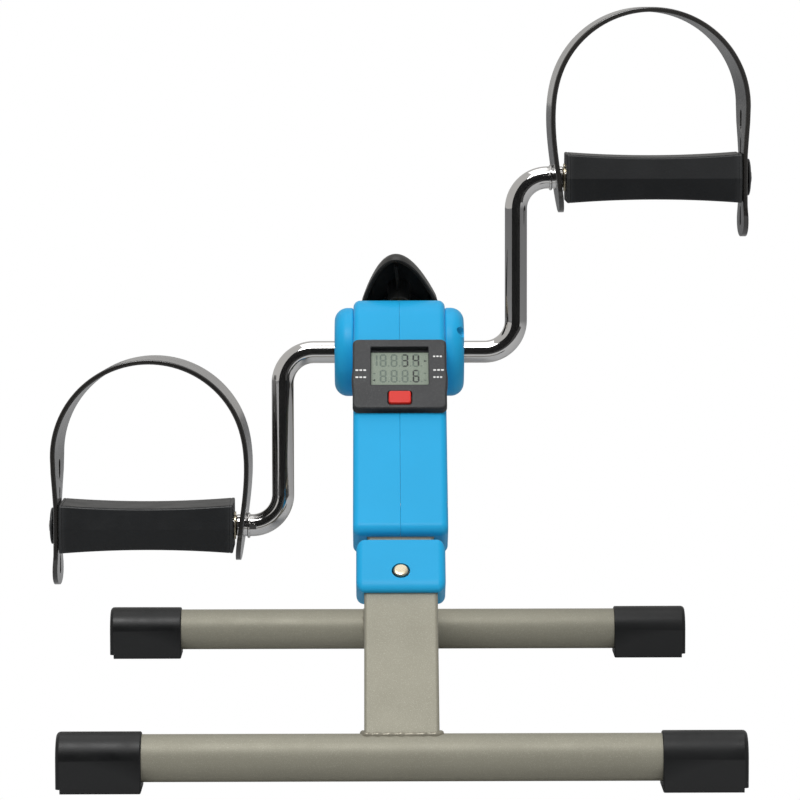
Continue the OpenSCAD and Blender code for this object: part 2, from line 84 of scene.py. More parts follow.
# ------------------------------------------------------------------ camera, light, floor

def make_camera():
    pitch, yaw, roll = math.radians(5.305), math.radians(0.31), math.radians(0.106)
    ahead = Vector((math.sin(yaw) * math.cos(pitch), math.cos(yaw) * math.cos(pitch), -math.sin(pitch)))
    right = ahead.cross(Vector((0, 0, 1))).normalized()
    down = ahead.cross(right)
    tilted = math.cos(roll) * right + math.sin(roll) * down
    up = -(math.cos(roll) * down - math.sin(roll) * right)
    turn = Matrix((tilted, up, -ahead)).transposed()
    data = bpy.data.cameras.new("camera")
    data.lens, data.sensor_width = 197.2, 36
    data.shift_x, data.shift_y = -0.0017, 0.0095
    data.clip_start, data.clip_end = 0.1, 60
    camera = bpy.data.objects.new("camera", data)
    bpy.context.scene.collection.objects.link(camera)
    camera.matrix_world = Matrix.Translation((-0.0124, -2.5347, 0.4164)) @ turn.to_4x4()
    bpy.context.scene.camera = camera


def make_light(name, place, target, size, power):
    data = bpy.data.lights.new(name, "AREA")
    data.shape = "SQUARE"
    data.size = size
    data.energy = power
    light = bpy.data.objects.new(name, data)
    bpy.context.scene.collection.objects.link(light)
    light.location = place
    light.rotation_euler = (Vector(target) - Vector(place)).to_track_quat("-Z", "Y").to_euler()


def make_world():
    world = bpy.data.worlds.new("studio")
    bpy.context.scene.world = world
    world.use_nodes = True
    tree = world.node_tree
    tree.nodes.clear()
    out = tree.nodes.new("ShaderNodeOutputWorld")
    mix = tree.nodes.new("ShaderNodeMixShader")
    seen = tree.nodes.new("ShaderNodeLightPath")
    room = tree.nodes.new("ShaderNodeBackground")
    white = tree.nodes.new("ShaderNodeBackground")
    room.inputs["Color"].default_value = (0.95, 0.97, 1.0, 1)
    room.inputs["Strength"].default_value = 0.26
    shine = tree.nodes.new("ShaderNodeBackground")
    shine.inputs["Color"].default_value = (1.0, 0.985, 0.96, 1)
    shine.inputs["Strength"].default_value = 0.5
    inside = tree.nodes.new("ShaderNodeMixShader")
    tree.links.new(seen.outputs["Is Glossy Ray"], inside.inputs[0])
    tree.links.new(room.outputs[0], inside.inputs[1])
    tree.links.new(shine.outputs[0], inside.inputs[2])
    white.inputs["Color"].default_value = (1, 1, 1, 1)
    white.inputs["Strength"].default_value = 1.0
    tree.links.new(seen.outputs["Is Camera Ray"], mix.inputs[0])
    tree.links.new(inside.outputs[0], mix.inputs[1])
    tree.links.new(white.outputs[0], mix.inputs[2])
    tree.links.new(mix.outputs[0], out.inputs[0])


def card(name, corners, material):
    """A card that only reflections see."""
    mesh = bpy.data.meshes.new(name)
    mesh.from_pydata(corners, [], [tuple(range(len(corners)))])
    mesh.materials.append(material)
    obj = bpy.data.objects.new(name, mesh)
    bpy.context.scene.collection.objects.link(obj)
    obj.visible_camera = obj.visible_diffuse = obj.visible_shadow = False
    obj.visible_transmission = False


def make_stage():
    floor_mat = new_material("stage_floor", (0.55, 0.55, 0.55), 0.85, variation=0.01)
    mesh = bpy.data.meshes.new("stage_floor")
    mesh.from_pydata([(-9, -9, 0), (9, -9, 0), (9, 30, 0), (-9, 30, 0)], [], [(0, 1, 2, 3)])
    mesh.materials.append(floor_mat)
    floor = bpy.data.objects.new("stage_floor", mesh)
    bpy.context.scene.collection.objects.link(floor)
    floor.visible_camera = False
    black = new_material("stage_card", (0.02, 0.02, 0.02), 0.9, variation=0.01)
    card("stage_card_upright", [(-1, -1.1, 0), (1, -1.1, 0), (1, -1.1, 1.5), (-1, -1.1, 1.5)], black)
    card("stage_card_low", [(-1, -1.1, 0.003), (1, -1.1, 0.003), (1, -0.5, 0.003), (-1, -0.5, 0.003)], black)


# ------------------------------------------------------------------ materials

def new_material(name, color, rough, metallic=0.0, variation=0.06, grain=0.0, grain_size=900,
                 spots=0.0, coat=0.0, specular=0.5, rough_variation=0.05, alpha=1.0,
                 wear=0.0):
    """A procedural material: mottled colour, uneven roughness and a fine grain in the bump."""
    material = bpy.data.materials.new(name)
    material.use_nodes = True
    tree = material.node_tree
    shader = tree.nodes["Principled BSDF"]
    place = tree.nodes.new("ShaderNodeTexCoord")

    def noise_node(scale, detail):
        n = tree.nodes.new("ShaderNodeTexNoise")
        n.inputs["Scale"].default_value = scale
        n.inputs["Detail"].default_value = detail
        n.inputs["Roughness"].default_value = 0.55
        tree.links.new(place.outputs["Object"], n.inputs["Vector"])
        return n

    def ramp(source, low, high, start=0.3, end=0.7):
        r = tree.nodes.new("ShaderNodeMapRange")
        r.inputs["From Min"].default_value, r.inputs["From Max"].default_value = start, end
        r.inputs["To Min"].default_value, r.inputs["To Max"].default_value = low, high
        tree.links.new(source, r.inputs["Value"])
        return r.outputs[0]

    broad = noise_node(28, 4)
    mix = tree.nodes.new("ShaderNodeMix")
    mix.data_type = "RGBA"
    dark = [c * (1 - variation) for c in color[:3]] + [1]
    light = [min(1, c * (1 + variation)) for c in color[:3]] + [1]
    mix.inputs["A"].default_value, mix.inputs["B"].default_value = dark, light
    tree.links.new(ramp(broad.outputs["Fac"], 0, 1), mix.inputs["Factor"])
    result = mix.outputs["Result"]
    if spots:
        fleck = noise_node(grain_size * 1.4, 1.0)
        add = tree.nodes.new("ShaderNodeMix")
        add.data_type = "RGBA"
        add.inputs["B"].default_value = [min(1, c * (1 + spots) + 0.02) for c in color[:3]] + [1]
        tree.links.new(ramp(fleck.outputs["Fac"], 0, 1, 0.58, 0.7), add.inputs["Factor"])
        tree.links.new(result, add.inputs["A"])
        result = add.outputs["Result"]
    if wear:
        geometry = tree.nodes.new("ShaderNodeNewGeometry")
        rub = tree.nodes.new("ShaderNodeMix")
        rub.data_type = "RGBA"
        rub.inputs["B"].default_value = [min(1, c + wear) for c in color[:3]] + [1]
        tree.links.new(ramp(geometry.outputs["Pointiness"], 0, 0.7, 0.52, 0.6), rub.inputs["Factor"])
        tree.links.new(result, rub.inputs["A"])
        result = rub.outputs["Result"]
    tree.links.new(result, shader.inputs["Base Color"])
    smudge = noise_node(60, 5)
    tree.links.new(ramp(smudge.outputs["Fac"], max(0.02, rough - rough_variation),
                        min(1, rough + rough_variation)), shader.inputs["Roughness"])
    shader.inputs["Metallic"].default_value = metallic
    shader.inputs["Specular IOR Level"].default_value = specular
    shader.inputs["Coat Weight"].default_value = coat
    shader.inputs["Coat Roughness"].default_value = 0.12
    shader.inputs["Alpha"].default_value = alpha
    if grain:
        fine = noise_node(grain_size, 2.0)
        bump = tree.nodes.new("ShaderNodeBump")
        bump.inputs["Strength"].default_value = grain
        bump.inputs["Distance"].default_value = 0.0002
        tree.links.new(fine.outputs["Fac"], bump.inputs["Height"])
        tree.links.new(bump.outputs["Normal"], shader.inputs["Normal"])
    return material


MATERIALS = {
    "leg_paint": new_material("leg_paint", (0.315, 0.3, 0.236), 0.5, metallic=0.2, variation=0.03,
                              grain=0.35, grain_size=1800, spots=0.35, specular=0.4),
    "housing_blue": new_material("housing_blue", (0.018, 0.43, 0.8), 0.4, variation=0.02,
                                 grain=0.06, grain_size=1200, specular=0.2, rough_variation=0.03),
    "cap_rubber": new_material("cap_rubber", (0.005, 0.0055, 0.006), 0.42, variation=0.15,
                               grain=0.15, grain_size=600, rough_variation=0.08, wear=0.02, specular=0.34),
    "chrome": new_material("chrome", (0.80, 0.79, 0.78), 0.06, metallic=1.0, variation=0.02,
                           rough_variation=0.02, grain=0.02, grain_size=300),
    "pedal_plastic": new_material("pedal_plastic", (0.011, 0.012, 0.013), 0.43, variation=0.12,
                                  grain=0.3, grain_size=1500, wear=0.06, specular=0.42),
    "strap_rubber": new_material("strap_rubber", (0.024, 0.022, 0.02), 0.26, variation=0.12,
                                 grain=0.015, grain_size=400, coat=0.8, specular=0.6),
    "knob_plastic": new_material("knob_plastic", (0.012, 0.012, 0.011), 0.36, variation=0.12,
                                 grain=0.15, grain_size=1100),
    "case_plastic": new_material("case_plastic", (0.02, 0.021, 0.023), 0.5, variation=0.1,
                                 grain=0.6, grain_size=1400, spots=0.9),
    "lcd": new_material("lcd", (0.31, 0.37, 0.29), 0.35, variation=0.03, grain=0.02),
    "window_clear": new_material("window_clear", (0.05, 0.055, 0.05), 0.12, variation=0.01, alpha=0.06),
    "button_red": new_material("button_red", (0.74, 0.028, 0.018), 0.34, variation=0.04, grain=0.08,
                               specular=0.4),
    "zinc": new_material("zinc", (0.66, 0.58, 0.42), 0.28, metallic=0.9, variation=0.12, grain=0.15,
                         grain_size=500),
    "spring_steel": new_material("spring_steel", (0.5, 0.5, 0.5), 0.3, metallic=1.0, grain=0.1),
    "bracket_steel": new_material("bracket_steel", (0.12, 0.12, 0.12), 0.5, metallic=0.5, grain=0.2),
    "bush_nylon": new_material("bush_nylon", (0.03, 0.03, 0.03), 0.45, grain=0.05),
    "friction_felt": new_material("friction_felt", (0.2, 0.11, 0.05), 0.9, variation=0.3, grain=0.8),
    "board_green": new_material("board_green", (0.01, 0.12, 0.04), 0.35, spots=0.6, grain=0.1),
}
INK = new_material("lcd_ink", (0.012, 0.018, 0.016), 0.4, variation=0.1)
GHOST = new_material("lcd_ghost", (0.155, 0.205, 0.17), 0.4, variation=0.06)
LABEL = new_material("label_white", (0.8, 0.8, 0.78), 0.5, variation=0.03)
WELD = new_material("weld_bead", (0.30, 0.28, 0.22), 0.36, metallic=0.4, variation=0.15, grain=0.6,
                    grain_size=900)
# Painted shade: a near-black colour laid where the display's window recess is in shadow
RECESS_SHADE = new_material("painted_recess_shade", (0.01, 0.012, 0.015), 0.7, variation=0.1)


# ------------------------------------------------------------------ mesh tools

def arc(cx, cy, r, start, end, steps):
    """Points on an arc, angles in degrees."""
    return [(cx + r * math.cos(math.radians(start + (end - start) * i / steps)),
             cy + r * math.sin(math.radians(start + (end - start) * i / steps)))
            for i in range(steps + 1)]


def round_rect(w, h, r, cx=0.0, cy=0.0, steps=8):
    x, y = w / 2 - r, h / 2 - r
    return (arc(cx + x, cy + y, r, 0, 90, steps) + arc(cx - x, cy + y, r, 90, 180, steps)
            + arc(cx - x, cy - y, r, 180, 270, steps) + arc(cx + x, cy - y, r, 270, 360, steps))


def circle(r, cx=0.0, cy=0.0, steps=48):
    return arc(cx, cy, r, 0, 360, steps)[:-1]


def inset(outline, d):
    """An anticlockwise outline moved inwards by d."""
    count = len(outline)
    moved = []
    for i, (x, y) in enumerate(outline):
        (px, py), (nx, ny) = outline[i - 1], outline[(i + 1) % count]
        before = Vector((x - px, y - py)).normalized()
        after = Vector((nx - x, ny - y)).normalized()
        normal = (Vector((-before.y, before.x)) + Vector((-after.y, after.x)))
        if normal.length < 1e-9:
            normal = Vector((-before.y, before.x))
        normal.normalize()
        stretch = 1 / max(0.5, normal.dot(Vector((-before.y, before.x))))
        moved.append((x + normal.x * d * stretch, y + normal.y * d * stretch))
    return moved


def fillet(corners, steps=6):
    """An outline with rounded corners: each corner is (x, y, radius)."""
    count = len(corners)
    points = []
    for i, (x, y, r) in enumerate(corners):
        if r <= 0:
            points.append((x, y))
            continue
        here = Vector((x, y))
        to_last = (Vector(corners[i - 1][:2]) - here).normalized()
        to_next = (Vector(corners[(i + 1) % count][:2]) - here).normalized()
        half = math.acos(max(-1, min(1, to_last.dot(to_next)))) / 2
        back = r / math.tan(half)
        centre = here + (to_last + to_next).normalized() * (r / math.sin(half))
        first, last = here + to_last * back, here + to_next * back
        a0 = math.atan2(first.y - centre.y, first.x - centre.x)
        a1 = math.atan2(last.y - centre.y, last.x - centre.x)
        swing = (a1 - a0 + math.pi) % (2 * math.pi) - math.pi
        points += [(centre.x + r * math.cos(a0 + swing * k / steps),
                    centre.y + r * math.sin(a0 + swing * k / steps)) for k in range(steps + 1)]
    return points


def loft(rings, closed=False):
    """Vertices and faces through rings of equal counts, capped unless closed into a loop."""
    count = len(rings[0])
    verts = [tuple(p) for ring in rings for p in ring]
    faces = []
    pairs = len(rings) if closed else len(rings) - 1
    for k in range(pairs):
        a, b = k * count, (k + 1) % len(rings) * count
        faces += [(a + i, a + (i + 1) % count, b + (i + 1) % count, b + i) for i in range(count)]
    if not closed:
        faces.append(tuple(reversed(range(count))))
        faces.append(tuple(range((len(rings) - 1) * count, len(rings) * count)))
    return verts, faces


def prism(outline, low, high, r_low=0.0, r_high=0.0, steps=5):
    """Rings of an outline extruded from low to high with rounded edges; points are (u, v, h)."""
    levels = []
    if r_low:
        levels += [(low + r_low * (1 - math.sin(t)), r_low * (1 - math.cos(t)))
                   for t in [math.pi / 2 * (1 - k / steps) for k in range(steps)]]
    levels += [(low + r_low, 0.0), (high - r_high, 0.0)]
    if r_high:
        levels += [(high - r_high * (1 - math.sin(t)), r_high * (1 - math.cos(t)))
                   for t in [math.pi / 2 * (k + 1) / steps for k in range(steps)]]
    return [[(u, v, h) for u, v in inset(outline, d)] for h, d in levels]


def mapped(rings, order):
    """Rings with their axes put in another order, such as (2, 0, 1) for a slab along x."""
    return [[(p[order[0]], p[order[1]], p[order[2]]) for p in ring] for ring in rings]


SIDEWAYS = (2, 0, 1)   # an outline of (across, along), extruded along x
FACING = (0, 2, 1)     # an outline of (x, along), extruded across the leg


def make_mesh(name, verts, faces, place=Matrix.Identity(4)):
    mesh = bpy.data.meshes.new(name)
    mesh.from_pydata(verts, [], faces)
    obj = bpy.data.objects.new(name, mesh)
    bpy.context.scene.collection.objects.link(obj)
    mesh.transform(place)
    tidy(obj)
    return obj


def tidy(obj, merge=1e-7):
    bm = bmesh.new()
    bm.from_mesh(obj.data)
    bmesh.ops.remove_doubles(bm, verts=bm.verts, dist=merge)
    bmesh.ops.recalc_face_normals(bm, faces=bm.faces)
    bm.to_mesh(obj.data)
    bm.free()


def settle(obj):
    """Applies an object's modifiers to its mesh."""
    bpy.context.view_layer.update()
    evaluated = obj.evaluated_get(bpy.context.evaluated_depsgraph_get())
    obj.data = bpy.data.meshes.new_from_object(evaluated)
    obj.modifiers.clear()


def cut(obj, *cutters, operation="DIFFERENCE"):
    """Cuts closed meshes out of obj and removes them."""
    for tool in cutters:
        modifier = obj.modifiers.new("cut", "BOOLEAN")
        modifier.operation = operation
        modifier.solver = "EXACT"
        modifier.object = tool
    settle(obj)
    for tool in cutters:
        bpy.data.objects.remove(tool)
    return obj


def soften(obj, width, angle=35, segments=3):
    """Rounds the sharp edges."""
    modifier = obj.modifiers.new("edges", "BEVEL")
    modifier.width = width
    modifier.segments = segments
    modifier.limit_method = "ANGLE"
    modifier.angle_limit = math.radians(angle)
    modifier.use_clamp_overlap = True
    modifier.harden_normals = False
    settle(obj)
    return obj


def piece(obj, body, material, replaces=(), smooth=32):
    """Finishes a mesh as a piece of the object."""
    obj.data.materials.clear()
    obj.data.materials.append(material)
    for polygon in obj.data.polygons:
        polygon.use_smooth = True
    obj.data.set_sharp_from_angle(angle=math.radians(smooth))
    modifier = obj.modifiers.new("normals", "WEIGHTED_NORMAL")
    modifier.keep_sharp = True
    settle(obj)
    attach(obj, body)
    if replaces:
        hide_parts(*replaces)
    return obj


def solid(name, rings, place=Matrix.Identity(4)):
    verts, faces = loft(rings)
    return make_mesh(name, verts, faces, place)


def lathe(name, profile, place, steps=56):
    """Turns a profile of (radius, height) round the Z axis of a place; radius 0 closes it."""
    rings = []
    for r, h in profile:
        r = max(r, 1e-6)
        rings.append([(r * math.cos(2 * math.pi * i / steps), r * math.sin(2 * math.pi * i / steps), h)
                      for i in range(steps)])
    verts, faces = loft(rings)
    obj = make_mesh(name, verts, faces, place)
    tidy(obj, 4e-6)
    return obj


def ring_lathe(name, profile, place, steps=56):
    """Turns a closed profile, which has a hole in its middle, round the Z axis."""
    rings = [[(r * math.cos(2 * math.pi * i / steps), r * math.sin(2 * math.pi * i / steps), h)
              for r, h in profile] for i in range(steps)]
    verts, faces = loft(rings, closed=True)
    return make_mesh(name, verts, faces, place)


def sweep(name, path, radius, sides=28):
    """A round bar along points; radius is a number or one number per point."""
    radii = radius if isinstance(radius, (list, tuple)) else [radius] * len(path)
    path = [Vector(p) for p in path]
    rings = []
    side = None
    for i, p in enumerate(path):
        run = (path[min(i + 1, len(path) - 1)] - path[max(i - 1, 0)]).normalized()
        if side is None:
            side = run.orthogonal().normalized()
        side = (side - run * side.dot(run)).normalized()
        other = run.cross(side)
        rings.append([p + radii[i] * (math.cos(t) * side + math.sin(t) * other)
                      for t in [2 * math.pi * k / sides for k in range(sides)]])
    return solid(name, rings)


def block(name, low, high, place=Matrix.Identity(4)):
    (x0, y0, z0), (x1, y1, z1) = low, high
    rings = [[(x0, y0, z), (x1, y0, z), (x1, y1, z), (x0, y1, z)] for z in (z0, z1)]
    return solid(name, rings, place)


def bar_x(name, x0, x1, r, place, steps=40):
    rings = [[(x, y, z) for y, z in circle(r, steps=steps)] for x in (x0, x1)]
    return solid(name, rings, place)


def along_x(x, y, z, side=1):
    """A place whose Z axis runs outwards along X."""
    return Matrix.Translation((x, y, z)) @ Matrix.Rotation(side * math.pi / 2, 4, "Y")


def side_name(side):
    return "right" if side > 0 else "left"


# ------------------------------------------------------------------ feet and legs

TUBE_R = 12.7 * MM
LEG_W, LEG_T = 40 * MM, 20 * MM


def foot_cap(node, body):
    low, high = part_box(node)
    side = 1 if low.x > 0 else -1
    x_in, x_out = min(abs(low.x), abs(high.x)), max(abs(low.x), abs(high.x))
    r = (high.y - low.y) / 2
    centre = Vector((0, (low.y + high.y) / 2, high.z - r))
    foot = -(centre.z - low.z)
    corners = [(-r, foot, 1.1 * MM), (r, foot, 1.1 * MM)]
    outline = fillet(corners + [(r, 0, 0)] + [(x, y, 0) for x, y in arc(0, 0, r, 4, 176, 40)] + [(-r, 0, 0)])
    rings = mapped(prism(outline, x_in, x_out, 0.9 * MM, 2.4 * MM), SIDEWAYS)
    place = Matrix.Translation(centre) @ Matrix.Diagonal((side, 1, 1, 1))
    cap = solid(node + "_skin", rings, place)
    bore = bar_x("bore", x_in - MM, x_out - 3 * MM, TUBE_R + 0.05 * MM, place, 64)
    step = block("step", (x_out - 2.3 * MM, -2 * r, foot - MM), (x_out + MM, 2 * r, foot + 2.5 * MM), place)
    cut(cap, bore, step)
    soften(cap, 0.35 * MM, 50, 2)
    for vertex in cap.data.vertices:
        p = vertex.co
        if p.z > centre.z - 8 * MM:
            wave = noise.noise(Vector((p.x * 60, p.y * 40, p.z * 40)))
            out = Vector((0, p.y - centre.y, p.z - centre.z)).normalized()
            if (p - centre).yz.length > TUBE_R + 0.4 * MM:
                vertex.co = p + out * wave * 0.16 * MM
    piece(cap, body, MATERIALS["cap_rubber"], [node])


def weld_bead(name, body, place, level, sign):
    """A lumpy bead where a leg meets its foot tube; level is the tube's axis along the leg."""
    outline = round_rect(LEG_W + 1.2 * MM, LEG_T + 1.2 * MM, 2.4 * MM, steps=5)
    dense = []
    for i, (x, y) in enumerate(outline):
        nx, ny = outline[(i + 1) % len(outline)]
        steps = max(1, int(math.hypot(nx - x, ny - y) / (1.1 * MM)))
        dense += [(x + (nx - x) * k / steps, y + (ny - y) * k / steps) for k in range(steps)]
    dense.append(dense[0])
    path = [place @ Vector((x, y, level + sign * math.sqrt(TUBE_R ** 2 - y * y))) for x, y in dense]
    radii = [(1.5 + 0.28 * math.sin(i * 1.15) + 0.2 * noise.noise(Vector((i * 0.4, 0, 0)))) * MM
             for i in range(len(path))]
    bead = sweep(name, path, radii, 12)
    piece(bead, body, WELD, smooth=60)


def make_feet():
    for end, body in (("front", "frame"), ("rear", "rear_leg")):
        for side in ("left", "right"):
            foot_cap(f"{end}_foot_cap_{side}", body)
    weld_bead("front_weld", "frame", LEG, 0.0, 1)
    weld_bead("rear_weld", "rear_leg", REAR_LEG, REAR_RUN.length, -1)


# ------------------------------------------------------------------ collar and snap button

def make_collar():
    low, high = local_box("leg_collar", LEG)
    slant = 11.7 * MM
    rings = prism(round_rect(high.x - low.x, high.y - low.y, 4.3 * MM), low.z, high.z, 4.2 * MM, 1.6 * MM, 7)
    tall = high.z - low.z
    shaped = []
    for ring in rings:
        points = []
        for x, b, a in ring:
            a = low.z + (a - low.z) * 1.9 if a - low.z < 4.2 * MM else a
            up = (a - low.z) / tall
            over = max(0.0, abs(x) - (high.x - 5 * MM))
            drop = 5 * MM - math.sqrt(max(0.0, (5 * MM) ** 2 - over * over))
            a += slant * (b - low.y) / (high.y - low.y) * (1 - up)
            a -= min(drop, 3.2 * MM) * max(0.0, up * 2 - 1)
            points.append((x, b, a))
        shaped.append(points)
    collar = solid("leg_collar_skin", shaped, LEG)
    x, y, lip = LEG_W / 2 + 0.02 * MM, LEG_T / 2 + 0.02 * MM, high.z - 1.6 * MM
    leg = block("leg", (-x, -y, low.z - 9 * MM), (x, y, lip), LEG)
    column = block("column", (-18.5 * MM, -8.5 * MM, lip - MM), (18.5 * MM, 8.5 * MM, high.z + MM), LEG)
    at = middle_of(local_box("lock_button", LEG))
    hole = lathe("hole", [(0, 0), (5 * MM, 0), (5 * MM, 20 * MM), (0, 20 * MM)],
                 LEG @ Matrix.Translation((0, 0, at.z)) @ Matrix.Rotation(math.pi / 2, 4, "X"))
    cut(collar, leg, column, hole)
    soften(collar, 0.3 * MM, 60, 2)
    piece(collar, "frame", MATERIALS["housing_blue"], ["leg_collar"])


def middle_of(pair):
    return (pair[0] + pair[1]) / 2


def outward(b, a, x=0.0):
    """A place on the leg's front whose Z axis points out of it."""
    return LEG @ Matrix.Translation((x, b, a)) @ Matrix.Rotation(math.pi / 2, 4, "X")


def make_snap_button():
    low, high = local_box("lock_button", LEG)
    at = middle_of((low, high)).z
    r = 4 * MM
    height = high.y - MM - low.y
    dome = [(r * math.cos(t) ** 0.45, height - 0.7 * MM + 0.7 * MM * math.sin(t)) for t in
            [math.radians(90 * k / 10) for k in range(11)]]
    profile = [(0, -MM), (5.5 * MM, -MM), (5.5 * MM, 0), (r, 0)] + dome[:-1] + [(0, height)]
    button = lathe("lock_button_skin", profile, outward(high.y - MM, at))
    piece(button, "lock_button", MATERIALS["zinc"], ["lock_button"], smooth=40)


# ------------------------------------------------------------------ housing

HEAD_R, LOBE_R, SHELL, CROWN = 26.5 * MM, 17 * MM, 2.6 * MM, 4 * MM
BODY_HALF = 26.2 * MM
DISC_R, RIM_R = 25.3 * MM, 7.5 * MM
BACK_B, WEB_A = 16 * MM, 232 * MM
SCREWS = [(-10.5 * MM, 162 * MM), (10.8 * MM, 168 * MM), (-4.6 * MM, 307.3 * MM), (24 * MM, 266 * MM)]


def touching(c0, r0, c1, r1, side):
    """The angle of the normal to a line that touches two circles, and the point on the second."""
    run = c1 - c0
    turn = math.atan2(run.y, run.x) + side * math.acos((r0 - r1) / run.length)
    return turn, c1 + r1 * Vector((math.cos(turn), math.sin(turn)))


def body_outline():
    """The housing's side outline, as (across, along), anticlockwise."""
    low, _ = local_box("housing_right", LEG)
    head, lobe = Vector((CRANK_L.y, CRANK_L.z + CROWN)), Vector((PIVOT_L.y, PIVOT_L.z))
    web = Vector((BACK_B, WEB_A))
    under, _ = touching(web, 0, lobe, LOBE_R, -1)
    over, _ = touching(head, HEAD_R, lobe, LOBE_R, 1)
    start, stop = math.degrees(under), math.degrees(over)
    if start > stop:
        start -= 360
    lobe_arc = arc(lobe.x, lobe.y, LOBE_R, start, stop, 24)
    head_arc = arc(head.x, head.y, HEAD_R, stop, 180, 26)
    corners = [(low.y, low.z, 5 * MM), (BACK_B, low.z + 8.9 * MM, 4 * MM), (web.x, web.y, 14 * MM)]
    return fillet(corners + [(x, y, 0) for x, y in lobe_arc + head_arc])


def fold_outline():
    half, reach = LEG_T / 2 + 0.6 * MM, 60 * MM
    pivot = Vector((PIVOT_L.y, PIVOT_L.z))
    foot = LEG.inverted() @ REAR
    ahead = (Vector((foot.y, foot.z)) - pivot).normalized()
    above = Vector((-ahead.y, ahead.x))
    start = math.degrees(math.atan2(above.y, above.x))
    back = arc(pivot.x, pivot.y, half, start, 180, 16)
    ends = [pivot + Vector((-half, -reach)), pivot + Vector((reach, -reach)),
            pivot + half * above + reach * ahead]
    return back + [tuple(p) for p in ends]


def side_disc(side):
    """The round boss on one side of the head, with the crank's hole through it."""
    half = 37 * MM
    profile = [(7.4 * MM, 24 * MM), (22.5 * MM, 24 * MM), (22.5 * MM, 26 * MM)]
    profile += arc(DISC_R - 1.3 * MM, 27.4 * MM, 1.3 * MM, -90, 0, 5)
    profile += arc(DISC_R - RIM_R, half - RIM_R, RIM_R, 0, 90, 14)
    profile += arc(8.6 * MM, half - 1.2 * MM, 1.2 * MM, 90, 180, 4)
    place = (Matrix.Translation(CRANK) @ Matrix.Diagonal((side, 1, 1, 1))
             @ Matrix.Rotation(math.pi / 2, 4, "Y"))
    name = "side_disc_" + side_name(side)
    disc = ring_lathe(name, profile, place, 96)
    if side > 0:
        at = Vector((0, CRANK.y - 17.5 * MM, CRANK.z + 12.5 * MM))
        cut(disc, bar_x("recess", 31.2 * MM, 40 * MM, 3.1 * MM, Matrix.Translation(at)))
        head = lathe("disc_screw", [(0, 0), (2.3 * MM, 0), (2.3 * MM, 0.9 * MM), (1.7 * MM, 1.3 * MM),
                                    (0, 1.5 * MM)], along_x(31.1 * MM, at.y, at.z))
        piece(head, "frame", MATERIALS["zinc"])
    piece(disc, "frame", MATERIALS["housing_blue"], smooth=40)
    disc.visible_glossy = False


def housing_half(side):
    outline = body_outline()
    low, high = local_box("display_back", LEG)
    place = LEG @ Matrix.Diagonal((side, 1, 1, 1))
    name = "housing_" + side_name(side)
    rings = mapped(prism(outline, 0.04 * MM, BODY_HALF, 0.18 * MM, 3.9 * MM, 8), SIDEWAYS)
    half = solid(name + "_skin", rings, place)
    axis = Matrix.Translation((0, CRANK_L.y, CRANK_L.z))
    tools = [
        solid("cavity", mapped(prism(inset(outline, SHELL), -MM, BODY_HALF - SHELL), SIDEWAYS), place),
        solid("fold", mapped(prism(fold_outline(), -2 * MM, 20.5 * MM), SIDEWAYS), place),
        block("column", (-18.6 * MM, -8.6 * MM, 130 * MM), (18.6 * MM, 8.6 * MM, 170 * MM), place),
        block("tray", (-22.3 * MM, low.y - 3 * MM, low.z - 0.3 * MM),
              (22.3 * MM, low.y + 4 * MM, high.z + 0.3 * MM), place),
        bar_x("rod", 20 * MM, 40 * MM, 8 * MM, place @ axis),
        lathe("nut", [(0, 0), (8 * MM, 0), (8 * MM, 40 * MM), (0, 40 * MM)], place @ axis),
    ]
    if side > 0:
        tools += [bar_x("seat", 24.2 * MM, 30 * MM, 3 * MM, place @ Matrix.Translation((0, b, a)))
                  for b, a in SCREWS if (b, a) != SCREWS[2]]
    cut(half, *tools)
    piece(half, "frame", MATERIALS["housing_blue"], [name], smooth=28)
    half.visible_glossy = False


def make_housing():
    for side in (-1, 1):
        housing_half(side)
        side_disc(side)


# ------------------------------------------------------------------ display

DISP_W, DISP_H = 53 * MM, 51.2 * MM
WINDOW_W, WINDOW_H = 33 * MM, 28.4 * MM
DIGIT_W, DIGIT_H, DIGIT_STEP = 3.9 * MM, 8.3 * MM, 6.17 * MM
STROKE = 1.0 * MM
# Segments of a digit, clockwise from the top, with the middle one last
LIT = {"3": "abcdg", "4": "bcfg", "6": "acdefg", "8": "abcdefg", "1": "bc"}


def case_outline(centre):
    """The case's rounded rectangle, with a shallow finger bulge low on both sides."""
    x, y, r = DISP_W / 2 - 3.5 * MM, DISP_H / 2 - 3.5 * MM, 3.5 * MM
    grip = [(-14 + 20 * k / 16) * MM for k in range(17)]
    bulge = [0.6 * MM * math.sin(math.pi * k / 16) ** 2 for k in range(17)]
    right = [(DISP_W / 2 + b, centre + g) for g, b in zip(grip, bulge)]
    left = [(-px, py) for px, py in reversed(right)]
    return (right + arc(x, centre + y, r, 0, 90, 8) + arc(-x, centre + y, r, 90, 180, 8) + left
            + arc(-x, centre - y, r, 180, 270, 8) + arc(x, centre - y, r, 270, 360, 8))


def segment_quads(digit, cx, cy):
    """Outlines of a seven-segment digit's lit bars, centred at cx, cy."""
    w, h, s = DIGIT_W / 2 - STROKE / 2, DIGIT_H / 4, STROKE / 2
    ends = {"a": ((-w, 2 * h), (w, 2 * h)), "b": ((w, 2 * h), (w, 0)), "c": ((w, 0), (w, -2 * h)),
            "d": ((w, -2 * h), (-w, -2 * h)), "e": ((-w, -2 * h), (-w, 0)), "f": ((-w, 0), (-w, 2 * h)),
            "g": ((-w, 0), (w, 0))}
    bars = []
    for key in LIT[digit]:
        p, q = Vector(ends[key][0]), Vector(ends[key][1])
        run = (q - p).normalized()
        p, q = p + run * 0.12 * MM, q - run * 0.12 * MM
        off = Vector((-run.y, run.x)) * s
        points = [p, p + run * s + off, q - run * s + off, q, q - run * s - off, p + run * s - off]
        bars.append([(cx + v.x, cy + v.y) for v in points])
    return bars


